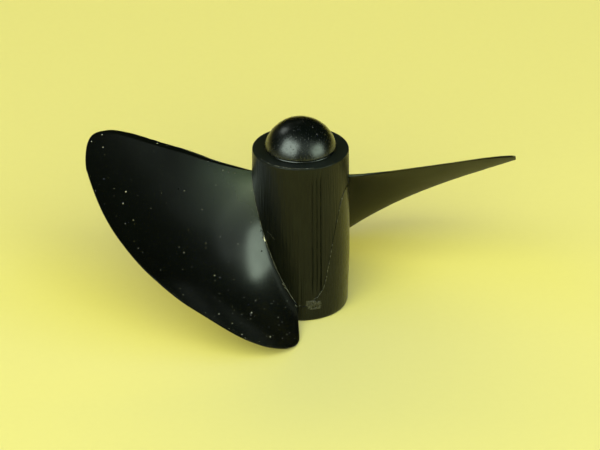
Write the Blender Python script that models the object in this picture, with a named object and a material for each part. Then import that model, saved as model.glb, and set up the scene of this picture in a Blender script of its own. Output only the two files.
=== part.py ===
"""Two-bladed left-hand model boat propeller, standing on the drive end of its hub.

Units are metres, +Z runs along the shaft axis from the drive end to the nose cap, and the origin
is the centre of the hub's flat drive face. The blade tips lie close to the X axis.
The hub and both blades are one plastic moulding. The nose cap and the threaded shaft bush are
pressed into its two ends.
"""

import math

import bmesh
import bpy
from mathutils import Vector

# Hub
HUB_LENGTH = 0.01615
HUB_RADIUS = 0.00464
HUB_FOOT_RADIUS = 0.00446
HUB_TOP_RADIUS = 0.00452
HUB_WIDEST_HEIGHT = 0.0055
HUB_FOOT_ROUND = 0.00030
HUB_TOP_ROUND = 0.00012
HUB_FOOT_STEPS = 5
HUB_TOP_STEPS = 3
HUB_SIDES = 64

# Sockets at the hub's two ends, and the play that the pressed parts keep to their walls
BUSH_RADIUS = 0.0027
BUSH_LENGTH = 0.0110
CAP_STEM_RADIUS = 0.0019
CAP_STEM_LENGTH = 0.0022
PRESS_PLAY = 0.00001

# Shaft bush, bored for an M4 shaft thread
THREAD_RADIUS = 0.00170
BUSH_MOUTH_CHAMFER = 0.00035
BUSH_SIDES = 48

# Nose cap: part of a ball on a rim that narrows towards its foot
CAP_RADIUS = 0.00337
CAP_HEIGHT = 0.00292
CAP_RIM_HEIGHT = 0.00027
CAP_FOOT_RADIUS = 0.00325
CAP_RINGS = 12

# The blade's upper face. Its height above the drive face is a cubic in the angle from FACE_MIDDLE,
# with these values at the root, at half span and at the tip: the height there, the pitch of its
# screw, and the rises for each squared and each cubed radian.
ROOT_RADIUS = 0.00459
TIP_RADIUS = 0.0201
FACE_MIDDLE = math.radians(225.0)
FACE_HEIGHT = (0.00809, 0.00624, 0.00838)
PITCH = (0.05890, 0.05735, 0.04257)
FACE_BOW = (-0.00113, 0.00102, 0.00104)
FACE_TAIL = (0.00285, 0.00044, -0.00178)

# Blade sections from inside the hub's wall out to the tip: radius, degrees of the trailing edge
# (nearest the cap), degrees of the leading edge, thickness at mid chord, and width of the bevel
# along the trailing edge.
SECTIONS = (
    (0.00379, 173.6, 266.6, 0.00135, 0.00012),
    (ROOT_RADIUS, 173.3, 266.9, 0.00115, 0.00014),
    (0.00534, 173.0, 267.3, 0.00090, 0.00016),
    (0.00615, 172.7, 268.1, 0.00080, 0.00018),
    (0.00705, 172.6, 268.8, 0.00074, 0.00020),
    (0.00796, 172.3, 269.1, 0.00070, 0.00025),
    (0.00866, 171.9, 268.6, 0.00067, 0.00028),
    (0.00937, 171.4, 267.1, 0.00065, 0.00031),
    (0.01016, 171.1, 264.8, 0.00062, 0.00035),
    (0.01100, 170.9, 262.0, 0.00060, 0.00037),
    (0.01180, 170.9, 258.8, 0.00057, 0.00037),
    (0.01255, 170.9, 255.6, 0.00054, 0.00038),
    (0.01324, 170.9, 251.9, 0.00052, 0.00039),
    (0.01385, 170.8, 248.1, 0.00050, 0.00039),
    (0.01435, 170.8, 243.8, 0.00048, 0.00040),
    (0.01480, 170.7, 239.1, 0.00047, 0.00039),
    (0.01525, 170.7, 234.9, 0.00045, 0.00038),
    (0.01570, 170.7, 231.5, 0.00044, 0.00037),
    (0.01615, 170.7, 228.2, 0.00042, 0.00036),
    (0.01657, 170.8, 224.2, 0.00041, 0.00033),
    (0.01698, 170.9, 219.8, 0.00040, 0.00031),
    (0.01738, 171.0, 216.0, 0.00039, 0.00029),
    (0.01778, 171.2, 211.3, 0.00037, 0.00026),
    (0.01818, 171.5, 206.4, 0.00036, 0.00022),
    (0.01860, 172.0, 201.5, 0.00034, 0.00018),
    (0.01905, 172.6, 195.6, 0.00033, 0.00014),
    (0.01942, 173.3, 190.5, 0.00032, 0.00010),
    (0.01972, 174.2, 186.7, 0.00031, 0.00007),
    (0.01994, 175.6, 184.2, 0.00030, 0.00005),
    (0.02006, 177.2, 182.8, 0.00030, 0.00004),
    (TIP_RADIUS, 179.2, 180.2, 0.00030, 0.00004),
)
STEPS_PER_SECTION = 2
CHORD_STEPS = 16
TRAILING_THICKNESS = 0.00022
LEADING_THICKNESS = 0.00016
BEVEL_SLOPE = math.tan(math.radians(18.0))
BLADE_TURNS = (0.0, math.pi)

# Colour and roughness of each material
BLACK_PLASTIC = ((0.012, 0.014, 0.013, 1.0), 0.38)
GLOSSY_PLASTIC = ((0.010, 0.013, 0.012, 1.0), 0.25)
BRASS = ((0.62, 0.45, 0.20, 1.0), 0.35)

# Points nearer than this are one point, and edges sharper than this stay sharp in smooth shading
MERGE_DISTANCE = 0.000001
SHARP_ANGLE = math.radians(35.0)
NORMAL_STEP = 0.00001


def clear_scene():
    for obj in list(bpy.data.objects):
        bpy.data.objects.remove(obj, do_unlink=True)


def new_collection(name):
    collection = bpy.data.collections.new(name)
    bpy.context.scene.collection.children.link(collection)
    return collection


def material(name, finish, metallic=0.0):
    colour, roughness = finish
    made = bpy.data.materials.new(name)
    made.use_nodes = True
    shader = made.node_tree.nodes["Principled BSDF"]
    shader.inputs["Base Color"].default_value = colour
    shader.inputs["Roughness"].default_value = roughness
    shader.inputs["Metallic"].default_value = metallic
    return made


def through(values, share):
    """The quadratic through the values at share 0, 0.5 and 1."""
    root, half, tip = values
    return (
        root * (1 - share) * (1 - 2 * share)
        + half * 4 * share * (1 - share)
        + tip * share * (2 * share - 1)
    )


def arc(centre_radius, centre_height, radius, start, end, steps):
    """Profile points (r, z) on an arc, from start to end degrees."""
    points = []
    for step in range(steps + 1):
        angle = math.radians(start + (end - start) * step / steps)
        r = centre_radius + radius * math.cos(angle)
        z = centre_height + radius * math.sin(angle)
        points.append((r, z))
    return points


def new_object(name, shape, collection):
    """An object that takes a bmesh, with its round faces shaded smooth."""
    mesh = bpy.data.meshes.new(name)
    shape.to_mesh(mesh)
    shape.free()
    mesh.shade_smooth()
    mesh.set_sharp_from_angle(angle=SHARP_ANGLE)
    obj = bpy.data.objects.new(name, mesh)
    collection.objects.link(obj)
    return obj


def turned(name, profile, sides, collection):
    """A solid of revolution about Z from a profile of (r, z) points."""
    shape = bmesh.new()
    points = [shape.verts.new((r, 0.0, z)) for r, z in profile]
    edges = [shape.edges.new(ends) for ends in zip(points, points[1:])]
    bmesh.ops.spin(
        shape,
        geom=points + edges,
        cent=(0.0, 0.0, 0.0),
        axis=(0.0, 0.0, 1.0),
        angle=2 * math.pi,
        steps=sides,
        use_merge=True,
    )
    bmesh.ops.remove_doubles(shape, verts=shape.verts, dist=MERGE_DISTANCE)
    bmesh.ops.recalc_face_normals(shape, faces=shape.faces)
    return new_object(name, shape, collection)


def hub_profile():
    """From the axis in the cap's socket, down the outside, and back to the axis in the bush's socket."""
    top_centre = (HUB_TOP_RADIUS - HUB_TOP_ROUND, HUB_LENGTH - HUB_TOP_ROUND)
    foot_centre = (HUB_FOOT_RADIUS - HUB_FOOT_ROUND, HUB_FOOT_ROUND)
    round_top = arc(*top_centre, HUB_TOP_ROUND, 90, 0, HUB_TOP_STEPS)
    round_foot = arc(*foot_centre, HUB_FOOT_ROUND, 0, -90, HUB_FOOT_STEPS)
    cap_socket_floor = HUB_LENGTH - CAP_STEM_LENGTH
    return [
        (0.0, cap_socket_floor),
        (CAP_STEM_RADIUS, cap_socket_floor),
        (CAP_STEM_RADIUS, HUB_LENGTH),
        *round_top,
        (HUB_RADIUS, HUB_WIDEST_HEIGHT),
        *round_foot,
        (BUSH_RADIUS, 0.0),
        (BUSH_RADIUS, BUSH_LENGTH),
        (0.0, BUSH_LENGTH),
    ]


def cap_profile():
    """The dome, its rim and foot, and the stem that is pressed into the hub."""
    foot = HUB_LENGTH + PRESS_PLAY
    dome_height = CAP_HEIGHT - CAP_RIM_HEIGHT
    ball_radius = (CAP_RADIUS**2 + dome_height**2) / (2 * dome_height)
    ball_centre = foot + CAP_HEIGHT - ball_radius
    rim_angle = math.degrees(math.acos(CAP_RADIUS / ball_radius))
    dome = arc(0.0, ball_centre, ball_radius, 90, rim_angle, CAP_RINGS)
    stem = CAP_STEM_RADIUS - PRESS_PLAY
    stem_end = HUB_LENGTH - CAP_STEM_LENGTH + PRESS_PLAY
    return [*dome, (CAP_FOOT_RADIUS, foot), (stem, foot), (stem, stem_end), (0.0, stem_end)]


def bush_profile():
    """A closed ring section: bored tube with a chamfered mouth."""
    outer = BUSH_RADIUS - PRESS_PLAY
    top = BUSH_LENGTH - PRESS_PLAY
    mouth = THREAD_RADIUS + BUSH_MOUTH_CHAMFER
    corners = [
        (THREAD_RADIUS, top),
        (outer, top),
        (outer, 0.0),
        (mouth, 0.0),
        (THREAD_RADIUS, BUSH_MOUTH_CHAMFER),
    ]
    return [*corners, corners[0]]


def curve_point(points, position):
    """A Catmull-Rom curve through the points, at a position counted in points."""
    last = len(points) - 1
    index = min(int(position), last - 1)
    share = position - index
    before = points[max(index - 1, 0)]
    after = points[min(index + 2, last)]
    start, end = points[index], points[index + 1]
    return tuple(
        0.5
        * (
            2 * b
            + (c - a) * share
            + (2 * a - 5 * b + 4 * c - d) * share**2
            + (3 * b - a - 3 * c + d) * share**3
        )
        for a, b, c, d in zip(before, start, end, after)
    )


def face_point(radius, angle):
    """The point of the blade's upper face at a radius and an angle about the shaft."""
    share = (radius - ROOT_RADIUS) / (TIP_RADIUS - ROOT_RADIUS)
    turn = angle - FACE_MIDDLE
    height = through(FACE_HEIGHT, share) - through(PITCH, share) * turn / (2 * math.pi)
    height += through(FACE_BOW, share) * turn**2 + through(FACE_TAIL, share) * turn**3
    return Vector((radius * math.cos(angle), radius * math.sin(angle), height))


def face_normal(radius, angle):
    """The unit normal of the upper face, pointing up."""
    along = face_point(radius + NORMAL_STEP, angle) - face_point(radius - NORMAL_STEP, angle)
    around = face_point(radius, angle + NORMAL_STEP) - face_point(radius, angle - NORMAL_STEP)
    normal = along.cross(around).normalized()
    return normal if normal.z > 0 else -normal


def blade_thickness(middle, chord):
    """From the trailing edge at chord 0, through the middle, to the leading edge at chord 1."""
    edges = TRAILING_THICKNESS + (LEADING_THICKNESS - TRAILING_THICKNESS) * chord
    edges_at_middle = (TRAILING_THICKNESS + LEADING_THICKNESS) / 2
    return edges + (middle - edges_at_middle) * 4 * chord * (1 - chord)


def chord_shares(bevel):
    """Shares of the chord: across the bevel from the trailing edge, then closer to the leading edge."""
    shares = [0.0]
    for step in range(CHORD_STEPS + 1):
        shares.append(bevel + (1 - bevel) * math.sin(math.pi / 2 * step / CHORD_STEPS))
    return shares


def blade_section(position):
    """Points of one section's upper and lower skins, from the trailing edge to the leading edge."""
    radius, trailing, leading, middle, bevel = curve_point(SECTIONS, position)
    start, end = math.radians(trailing), math.radians(leading)
    chord_length = (face_point(radius, end) - face_point(radius, start)).length
    upper, lower = [], []
    for share in chord_shares(bevel / chord_length):
        angle = start + (end - start) * share
        point = face_point(radius, angle)
        normal = face_normal(radius, angle)
        drop = bevel * BEVEL_SLOPE if share == 0.0 else 0.0
        upper.append(point - normal * drop)
        lower.append(point - normal * blade_thickness(middle, share))
    return upper, lower


def blade(name, collection):
    """A loft through the sections: an upper and a lower skin, closed along every edge."""
    shape = bmesh.new()
    rings = []
    for step in range((len(SECTIONS) - 1) * STEPS_PER_SECTION + 1):
        upper, lower = blade_section(step / STEPS_PER_SECTION)
        rings.append([shape.verts.new(point) for point in upper + lower[::-1]])
    count = len(rings[0])
    for inner, outer in zip(rings, rings[1:]):
        for i in range(count):
            after = (i + 1) % count
            shape.faces.new((inner[i], inner[after], outer[after], outer[i]))
    for ring in (rings[0], rings[-1]):
        for i in range(count // 2 - 1):
            shape.faces.new((ring[i], ring[i + 1], ring[count - 2 - i], ring[count - 1 - i]))
    bmesh.ops.recalc_face_normals(shape, faces=shape.faces)
    obj = new_object(name, shape, collection)
    obj.hide_render = True
    obj.display_type = "WIRE"
    return obj


def moulding(parts, helpers, plastic):
    """The hub with both blades joined to it."""
    hub = turned("hub_and_blades", hub_profile(), HUB_SIDES, parts)
    for number, turn in enumerate(BLADE_TURNS, start=1):
        piece = blade(f"blade_{number}_shape", helpers)
        piece.rotation_euler.z = turn
        join = hub.modifiers.new(f"Blade {number}", "BOOLEAN")
        join.operation = "UNION"
        join.object = piece
    hub.data.materials.append(plastic)
    return hub


def main():
    clear_scene()
    parts = new_collection("model_boat_propeller")
    helpers = new_collection("blade_shapes")
    moulding(parts, helpers, material("black_plastic", BLACK_PLASTIC))
    cap = turned("nose_cap", cap_profile(), HUB_SIDES, parts)
    cap.data.materials.append(material("glossy_plastic", GLOSSY_PLASTIC))
    bush = turned("shaft_bush", bush_profile(), BUSH_SIDES, parts)
    bush.data.materials.append(material("brass", BRASS, metallic=1.0))


main()
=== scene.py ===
"""Looks of a moulded two-bladed model boat propeller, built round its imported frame.

Sizes are in metres where nothing else is said. The propeller stands on the drive end of its hub
with the origin at the centre of the drive face, +Z along the shaft axis, and the blade tips close
to the X axis. Run as a script it makes every piece, the stage and the camera.
"""

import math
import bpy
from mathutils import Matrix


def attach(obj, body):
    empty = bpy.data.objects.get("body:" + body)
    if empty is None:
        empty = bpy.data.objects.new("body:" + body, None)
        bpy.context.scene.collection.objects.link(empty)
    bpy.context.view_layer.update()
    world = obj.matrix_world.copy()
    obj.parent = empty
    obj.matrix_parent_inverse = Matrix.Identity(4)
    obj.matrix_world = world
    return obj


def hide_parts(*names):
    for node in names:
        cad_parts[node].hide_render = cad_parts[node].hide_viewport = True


bl_info = {
    "name": "Model Boat Propeller",
    "version": (1, 0, 0),
    "blender": (4, 5, 0),
    "location": "View3D > Sidebar > Propeller",
    "description": "Builds the visible pieces of a moulded two-bladed model boat propeller",
    "category": "Object",
}

import bmesh
import bpy
from bpy.props import FloatProperty, FloatVectorProperty, IntProperty, PointerProperty
from mathutils import Vector

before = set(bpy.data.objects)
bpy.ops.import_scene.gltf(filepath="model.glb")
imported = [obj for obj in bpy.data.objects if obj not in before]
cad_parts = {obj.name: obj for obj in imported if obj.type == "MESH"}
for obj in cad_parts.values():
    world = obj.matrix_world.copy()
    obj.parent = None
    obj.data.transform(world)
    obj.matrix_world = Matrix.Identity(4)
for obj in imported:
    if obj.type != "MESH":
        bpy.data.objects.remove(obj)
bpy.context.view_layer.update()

BODY = "root"
MILLIMETRE = 0.001
DEGREE = math.pi / 180
FULL_TURN = 2 * math.pi

# Points nearer than this become one: in finished meshes, and at the seams of rolled grids
MERGE_DISTANCE = 0.0000015
SEAM_DISTANCE = 0.000002

# Hub, cap and bush sizes that the frame's solids also have
HUB_LENGTH = 0.01615
HUB_RADIUS = 0.00464
HUB_FOOT_RADIUS = 0.00446
HUB_TOP_RADIUS = 0.00452
HUB_WIDEST_HEIGHT = 0.0055
HUB_FOOT_ROUND = 0.00030
HUB_TOP_ROUND = 0.00008
BUSH_RADIUS = 0.0027
BUSH_LENGTH = 0.0110
CAP_STEM_RADIUS = 0.0019
CAP_STEM_LENGTH = 0.0022
PRESS_PLAY = 0.00001
CAP_RADIUS = 0.00337
CAP_HEIGHT = 0.00292
CAP_FOOT_RADIUS = 0.00316

# Where the wall ends and its top round begins, and how far from the parting line the mesh has
# rings, which gather at the hub's middle before they are bent
WALL_TOP = HUB_LENGTH - HUB_TOP_ROUND
HUB_MIDDLE = HUB_LENGTH / 2
LINE_RINGS = (0.00018, 0.00012, 0.00006, 0.00002)

# The blade's upper face: a cubic in the angle from FACE_MIDDLE, with these values at the root, at
# half span and at the tip. Heights, bow and tail are in metres, the pitch is the screw's lead.
ROOT_RADIUS = 0.00459
TIP_RADIUS = 0.0201
FACE_MIDDLE = math.radians(225.0)
FACE_HEIGHT = (0.00809, 0.00624, 0.00838)
PITCH = (0.05890, 0.05735, 0.04257)
FACE_BOW = (-0.00113, 0.00102, 0.00104)
FACE_TAIL = (0.00285, 0.00044, -0.00178)

# Blade sections from inside the hub's wall to the tip: radius in millimetres, degrees of the
# trailing edge and of the leading edge, thickness at mid chord and width of the trailing bevel
# in millimetres.
SECTIONS = (
    (3.79, 173.6, 266.6, 1.35, 0.12),
    (4.59, 173.3, 266.9, 1.15, 0.14),
    (5.34, 173.0, 267.3, 0.90, 0.16),
    (6.15, 172.7, 268.1, 0.80, 0.18),
    (7.05, 172.6, 268.8, 0.74, 0.20),
    (7.96, 172.3, 269.1, 0.70, 0.25),
    (8.66, 171.9, 268.6, 0.67, 0.28),
    (9.37, 171.4, 267.1, 0.65, 0.31),
    (10.16, 171.1, 264.8, 0.62, 0.35),
    (11.00, 170.9, 262.0, 0.60, 0.37),
    (11.80, 170.9, 258.8, 0.57, 0.37),
    (12.55, 170.9, 255.6, 0.54, 0.38),
    (13.24, 170.9, 251.9, 0.52, 0.39),
    (13.85, 170.8, 248.1, 0.50, 0.39),
    (14.35, 170.8, 243.8, 0.48, 0.40),
    (14.80, 170.7, 239.1, 0.47, 0.39),
    (15.25, 170.7, 234.9, 0.45, 0.38),
    (15.70, 170.7, 231.5, 0.44, 0.37),
    (16.15, 170.7, 228.2, 0.42, 0.36),
    (16.57, 170.8, 224.2, 0.41, 0.33),
    (16.98, 170.9, 219.8, 0.40, 0.31),
    (17.38, 171.0, 216.0, 0.39, 0.29),
    (17.78, 171.2, 211.3, 0.37, 0.26),
    (18.18, 171.5, 206.4, 0.36, 0.22),
    (18.60, 172.0, 201.5, 0.34, 0.18),
    (19.05, 172.6, 195.6, 0.33, 0.14),
    (19.42, 173.3, 190.5, 0.32, 0.10),
    (19.72, 174.2, 186.7, 0.31, 0.07),
    (19.94, 175.6, 184.2, 0.30, 0.05),
    (20.06, 177.2, 182.8, 0.30, 0.04),
    (20.10, 179.2, 180.2, 0.30, 0.04),
)

# The mould's parting line round one half of the hub, as degrees and height in millimetres. It runs
# down the first blade's root, then up the hub's wall to the second blade.
PARTING_LINE = (
    (0.0, 13.20),
    (10.0, 12.50),
    (24.3, 11.00),
    (45.0, 7.91),
    (67.0, 4.50),
    (86.5, 1.65),
    (111.1, 2.54),
    (118.3, 3.38),
    (121.7, 4.38),
    (123.8, 5.39),
    (128.9, 7.29),
    (141.5, 10.88),
    (147.4, 12.00),
    (155.6, 12.65),
    (168.1, 12.90),
    (174.1, 13.40),
    (180.0, 13.20),
)

# The rows of PARTING_LINE that run up the wall
WALL_LINE_START = 5
WALL_LINE_END = 14

# The ends of the span, as shares of it, where a blade's sections close up, and how much longer the
# pitch makes a chord and the rounding of its edges than their arcs round the shaft
ROOT_CLOSING = (0.0, 0.012)
TIP_CLOSING = (0.955, 1.0)
CHORD_STRETCH = 1.25
EDGE_STRETCH = 1.3

# Angles, as shares of a half turn, of the three grooves that the mould's slide left on the wall,
# their half width as such a share, and the heights between which they begin and run out
GROOVES = (0.578, 0.609, 0.638)
GROOVE_WIDTH = 0.0065
GROOVE_FOOT = (0.0026, 0.0032)
GROOVE_END = (0.0150, 0.0158)

# Torn nibs near the first blade's root, as radius in millimetres, degrees and length in degrees
NIBS = (
    (7.28, 177.4, 0.9),
    (6.76, 178.1, 1.3),
    (6.15, 179.0, 0.8),
    (8.60, 175.6, 0.5),
    (5.40, 180.5, 0.6),
    (4.78, 264.3, 1.6),
    (4.74, 249.0, 1.2),
    (4.72, 251.5, 1.0),
)

# The hair on the hub's wall, in degrees and metres
HAIR_START = 227.5
HAIR_SWEEP = 10.5
HAIR_HEIGHT = 0.00905
HAIR_SAG = 0.00055
HAIR_OUT = 0.00003
HAIR_RADIUS = 0.000008
HAIR_STEPS = 8

# The fleck by the first blade's root: its radius from the shaft in millimetres, and its degrees
FLECK_PLACE = 4.74
FLECK_DEGREES = 225.4
FLECK_RISE = 0.00006
FLECK_RADIUS = 0.00008

# How deep in the wall the gate scar's back lies, and how thick the scar is where it isn't broken
SCAR_BACK = 0.00012
SCAR_THICKNESS = 0.00010

# How far beads lie out from a surface, how far the burr lies in from the wall, and the degrees by
# which each blade's beads are turned
BEAD_OUT = 0.00001
BURR_INSET = 0.00016
BLADE_TURNS = (0.0, 180.0)

# The camera's sensor in millimetres and its nearest sight, the card, and the room's light
SENSOR_WIDTH = 36.0
NEAREST_SEEN = 0.01
CARD_HALF_SIZE = 1.5
CARD_CELLS = 8
ROOM_COLOUR = (0.95, 1.0, 0.05, 1.0)
ROOM_STRENGTH = 0.19

# Lights: name, azimuth and elevation in degrees, distance, size, power, colour and use. Azimuth 0
# is in front, positive to the right. A "light" shines on rough surfaces only, and a "glint" only
# shows in reflections.
LIGHT_AIM = Vector((0.0, 0.0, 0.008))
LIGHTS = (
    ("window_left", -43.0, 37.0, 0.50, (0.44, 0.38), 2.5, (0.84, 1.0, 0.86), "glint"),
    ("window_right", 61.0, 21.5, 0.50, (0.33, 0.23), 0.96, (0.80, 1.0, 0.78), "glint"),
    ("wall_right", 28.0, 38.0, 0.50, (0.50, 0.32), 0.17, (0.84, 1.0, 0.86), "glint"),
    ("ceiling", 6.0, 66.0, 0.50, (0.30, 0.22), 0.020, (0.84, 1.0, 0.86), "glint"),
    ("soft_front", -3.0, 32.0, 0.60, (0.90, 0.60), 10.3, (1.0, 0.97, 0.44), "light"),
    ("soft_right", 60.0, 40.0, 0.60, (0.60, 0.60), 3.5, (0.18, 0.22, 1.0), "light"),
    ("soft_left", -75.0, 40.0, 0.60, (0.60, 0.60), 2.35, (0.05, 0.05, 1.0), "light"),
    ("lamp_behind", -128.0, 42.0, 0.60, (0.14, 0.14), 0.17, (0.90, 1.0, 0.90), "glint"),
    ("glow_behind", 180.0, 24.0, 0.80, (1.20, 0.40), 5.9, (1.0, 0.80, 0.02), "light"),
    ("sheen_behind", 180.0, 24.0, 0.80, (1.20, 0.40), 0.85, (1.0, 0.92, 0.40), "glint"),
)


# Sizes and colours that a user would change


class BladeSettings(bpy.types.PropertyGroup):
    count: IntProperty(name="Blades", description="Blades round the hub", default=2, min=1, max=6)
    span_steps: IntProperty(
        name="Span steps", description="Mesh rings from the hub to the tip", default=120, min=12
    )
    chord_steps: IntProperty(
        name="Chord steps", description="Mesh steps from edge to edge", default=44, min=8
    )
    trailing_thickness: FloatProperty(
        name="Trailing edge", description="Thickness of the trailing edge", default=0.00020, unit="LENGTH"
    )
    leading_thickness: FloatProperty(
        name="Leading edge", description="Thickness of the leading edge", default=0.00014, unit="LENGTH"
    )
    bevel_angle: FloatProperty(
        name="Trailing bevel",
        description="Slope of the bevel along the trailing edge",
        default=math.radians(18.0),
        subtype="ANGLE",
    )


class HubSettings(bpy.types.PropertyGroup):
    sides: IntProperty(name="Sides", description="Facets round the hub", default=576, min=48)
    rings: IntProperty(name="Rings", description="Rings up the hub's wall", default=44, min=8)
    draw_depth: FloatProperty(
        name="Draw marks", description="Depth of the mould's draw marks", default=0.00004, unit="LENGTH"
    )
    groove_depth: FloatProperty(
        name="Slide grooves", description="Depth of the three slide grooves", default=0.00011, unit="LENGTH"
    )
    mould_step: FloatProperty(
        name="Mould step",
        description="How far the lower mould half's wall stands proud of the upper's",
        default=0.00003,
        unit="LENGTH",
    )


class FlashSettings(bpy.types.PropertyGroup):
    height: FloatProperty(
        name="Flash",
        description="Radius of the burr, which the other beads follow in proportion",
        default=0.00005,
        unit="LENGTH",
    )
    seed: IntProperty(name="Seed", description="Seed of the flash's torn outline", default=4)


class CapSettings(bpy.types.PropertyGroup):
    rim_height: FloatProperty(
        name="Rim", description="Height of the rim under the dome", default=0.00027, unit="LENGTH"
    )
    sides: IntProperty(name="Sides", description="Facets round the cap", default=160, min=24)


class BushSettings(bpy.types.PropertyGroup):
    thread_pitch: FloatProperty(
        name="Thread pitch", description="Pitch of the shaft thread", default=0.0007, unit="LENGTH"
    )
    core_radius: FloatProperty(
        name="Core radius", description="Radius at the thread's crests", default=0.00165, unit="LENGTH"
    )
    thread_depth: FloatProperty(
        name="Thread depth", description="Depth of the shaft thread", default=0.00036, unit="LENGTH"
    )


class DustSettings(bpy.types.PropertyGroup):
    density: FloatProperty(
        name="Density", description="Dust specks for each square metre", default=420000.0, min=0.0
    )
    size: FloatProperty(
        name="Size", description="Radius of a common dust speck", default=0.000022, unit="LENGTH"
    )
    seed: IntProperty(name="Seed", description="Seed of the specks' places", default=11)


class FinishSettings(bpy.types.PropertyGroup):
    plastic: FloatVectorProperty(
        name="Plastic", description="Moulded plastic", default=(0.0007, 0.0011, 0.0005), subtype="COLOR"
    )
    dome: FloatVectorProperty(
        name="Dome",
        description="Rubbed plastic of the nose cap",
        default=(0.0009, 0.0018, 0.0013),
        subtype="COLOR",
    )
    brass: FloatVectorProperty(
        name="Brass", description="Turned brass of the bush", default=(0.72, 0.52, 0.23), subtype="COLOR"
    )
    # Film colour: partly dust film, partly painted sheen on the hub's top face and towards the blade roots
    film: FloatVectorProperty(
        name="Film",
        description="Film settled on the blades and the hub's top face",
        default=(0.38, 0.55, 0.44),
        subtype="COLOR",
    )
    dust: FloatVectorProperty(
        name="Dust", description="Dust and lint", default=(0.55, 0.58, 0.50), subtype="COLOR"
    )
    torn: FloatVectorProperty(
        name="Torn plastic",
        description="Torn flash and gate scar",
        default=(0.15, 0.165, 0.13),
        subtype="COLOR",
    )
    card: FloatVectorProperty(
        name="Card",
        description="Pale card under the propeller",
        default=(0.56, 0.56, 0.19),
        subtype="COLOR",
    )


class StageSettings(bpy.types.PropertyGroup):
    elevation: FloatProperty(
        name="Elevation", description="Camera's height angle", default=math.radians(27.97), subtype="ANGLE"
    )
    distance: FloatProperty(
        name="Distance", description="Camera's distance", default=0.43043, unit="LENGTH"
    )
    aim_side: FloatProperty(
        name="Aim, sideways",
        description="Sideways place of the camera's aim",
        default=-0.0000513,
        unit="LENGTH",
    )
    aim_height: FloatProperty(
        name="Aim, height", description="Height of the camera's aim", default=0.007962, unit="LENGTH"
    )
    lens: FloatProperty(name="Lens", description="Focal length in millimetres", default=273.9)


SETTINGS = {
    "blades": BladeSettings,
    "hub": HubSettings,
    "flash": FlashSettings,
    "cap": CapSettings,
    "bush": BushSettings,
    "dust": DustSettings,
    "finish": FinishSettings,
    "stage": StageSettings,
}


def settings(name):
    return getattr(bpy.context.scene, "propeller_" + name)


# Nodes, and arithmetic on the numbers in a node tree


def feed(made, inputs):
    """Links or sets a node's inputs, given by name or number as Fields, sockets or plain values."""
    for key, value in inputs.items():
        if isinstance(value, Field):
            value = value.socket
        if isinstance(value, bpy.types.NodeSocket):
            made.id_data.links.new(value, made.inputs[key])
        else:
            made.inputs[key].default_value = value


def node(tree, kind, inputs=None, **properties):
    """A new node, fed with its inputs. The keywords are the node's own properties."""
    made = tree.nodes.new(kind)
    for name, value in properties.items():
        setattr(made, name, value)
    feed(made, inputs or {})
    return made


class Field:
    """A number in a node tree, so that a shape's rule can be written as arithmetic."""

    def __init__(self, socket):
        self.socket = socket
        self.tree = socket.id_data

    def math(self, operation, *others):
        made = node(self.tree, "ShaderNodeMath", dict(enumerate((self, *others))), operation=operation)
        return Field(made.outputs[0])

    def __add__(self, other):
        return self.math("ADD", other)

    def __sub__(self, other):
        return self.math("SUBTRACT", other)

    def __mul__(self, other):
        return self.math("MULTIPLY", other)

    def __truediv__(self, other):
        return self.math("DIVIDE", other)

    def __neg__(self):
        return self.math("MULTIPLY", -1.0)

    def __rsub__(self, other):
        return -self + other

    __radd__ = __add__
    __rmul__ = __mul__

    def ramp(self, start, end):
        """0 before start, 1 after end, and straight between them."""
        made = node(self.tree, "ShaderNodeMapRange", {0: self, 1: start, 2: end}, clamp=True)
        return Field(made.outputs[0])

    def curve(self, points):
        """A smooth curve through (place, value) points, both from 0 to 1."""
        made = node(self.tree, "ShaderNodeFloatCurve", {"Value": self})
        handles = made.mapping.curves[0].points
        for number, (place, value) in enumerate(points):
            if number < 2:
                handles[number].location = (place, value)
            else:
                handles.new(place, value)
        for handle in handles:
            handle.handle_type = "AUTO"
        made.mapping.update()
        return Field(made.outputs[0])


def separate(vector):
    """Fields of the three parts of a vector or colour socket."""
    return [Field(output) for output in node(vector.id_data, "ShaderNodeSeparateXYZ", {0: vector}).outputs]


def combine(*parts):
    """A vector socket from Fields and numbers, at least one of them a Field."""
    tree = next(part.tree for part in parts if isinstance(part, Field))
    return node(tree, "ShaderNodeCombineXYZ", dict(enumerate(parts))).outputs[0]


def from_axis(x, y):
    """A Field of the distance from the shaft's axis."""
    return (x * x + y * y).math("SQRT")


def wrapped_angle(x, y):
    """A Field of the angle about the shaft within one half turn, from 0 to 1."""
    angle = y.math("ARCTAN2", x) / math.pi
    return angle.math("FLOORED_MODULO", 1.0)


def noise(place, scale, detail=2.0, roughness=0.5, seed=None):
    """A noise texture's node at a place socket. With a seed, each seed is another noise."""
    inputs = {"Vector": place, "Scale": scale, "Detail": detail, "Roughness": roughness}
    if seed is None:
        return node(place.id_data, "ShaderNodeTexNoise", inputs)
    return node(place.id_data, "ShaderNodeTexNoise", {**inputs, "W": seed}, noise_dimensions="4D")


def noise_field(*place_and_sizes, **options):
    return Field(noise(*place_and_sizes, **options).outputs[0])


# Objects and meshes


def add_object(name, data):
    """A new object in the scene."""
    made = bpy.data.objects.new(name, data)
    bpy.context.scene.collection.objects.link(made)
    return made


def clean(work, mesh):
    """Merges doubled points, turns the faces outwards and writes the bmesh to the mesh."""
    bmesh.ops.remove_doubles(work, verts=work.verts, dist=MERGE_DISTANCE)
    bmesh.ops.recalc_face_normals(work, faces=work.faces)
    work.to_mesh(mesh)
    work.free()


def turn_outwards(mesh):
    work = bmesh.new()
    work.from_mesh(mesh)
    clean(work, mesh)


def sharpen(mesh, degrees):
    """Smooth shading, with sharp edges where faces meet at more than these degrees."""
    mesh.shade_smooth()
    mesh.set_sharp_from_angle(angle=math.radians(degrees))


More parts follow.
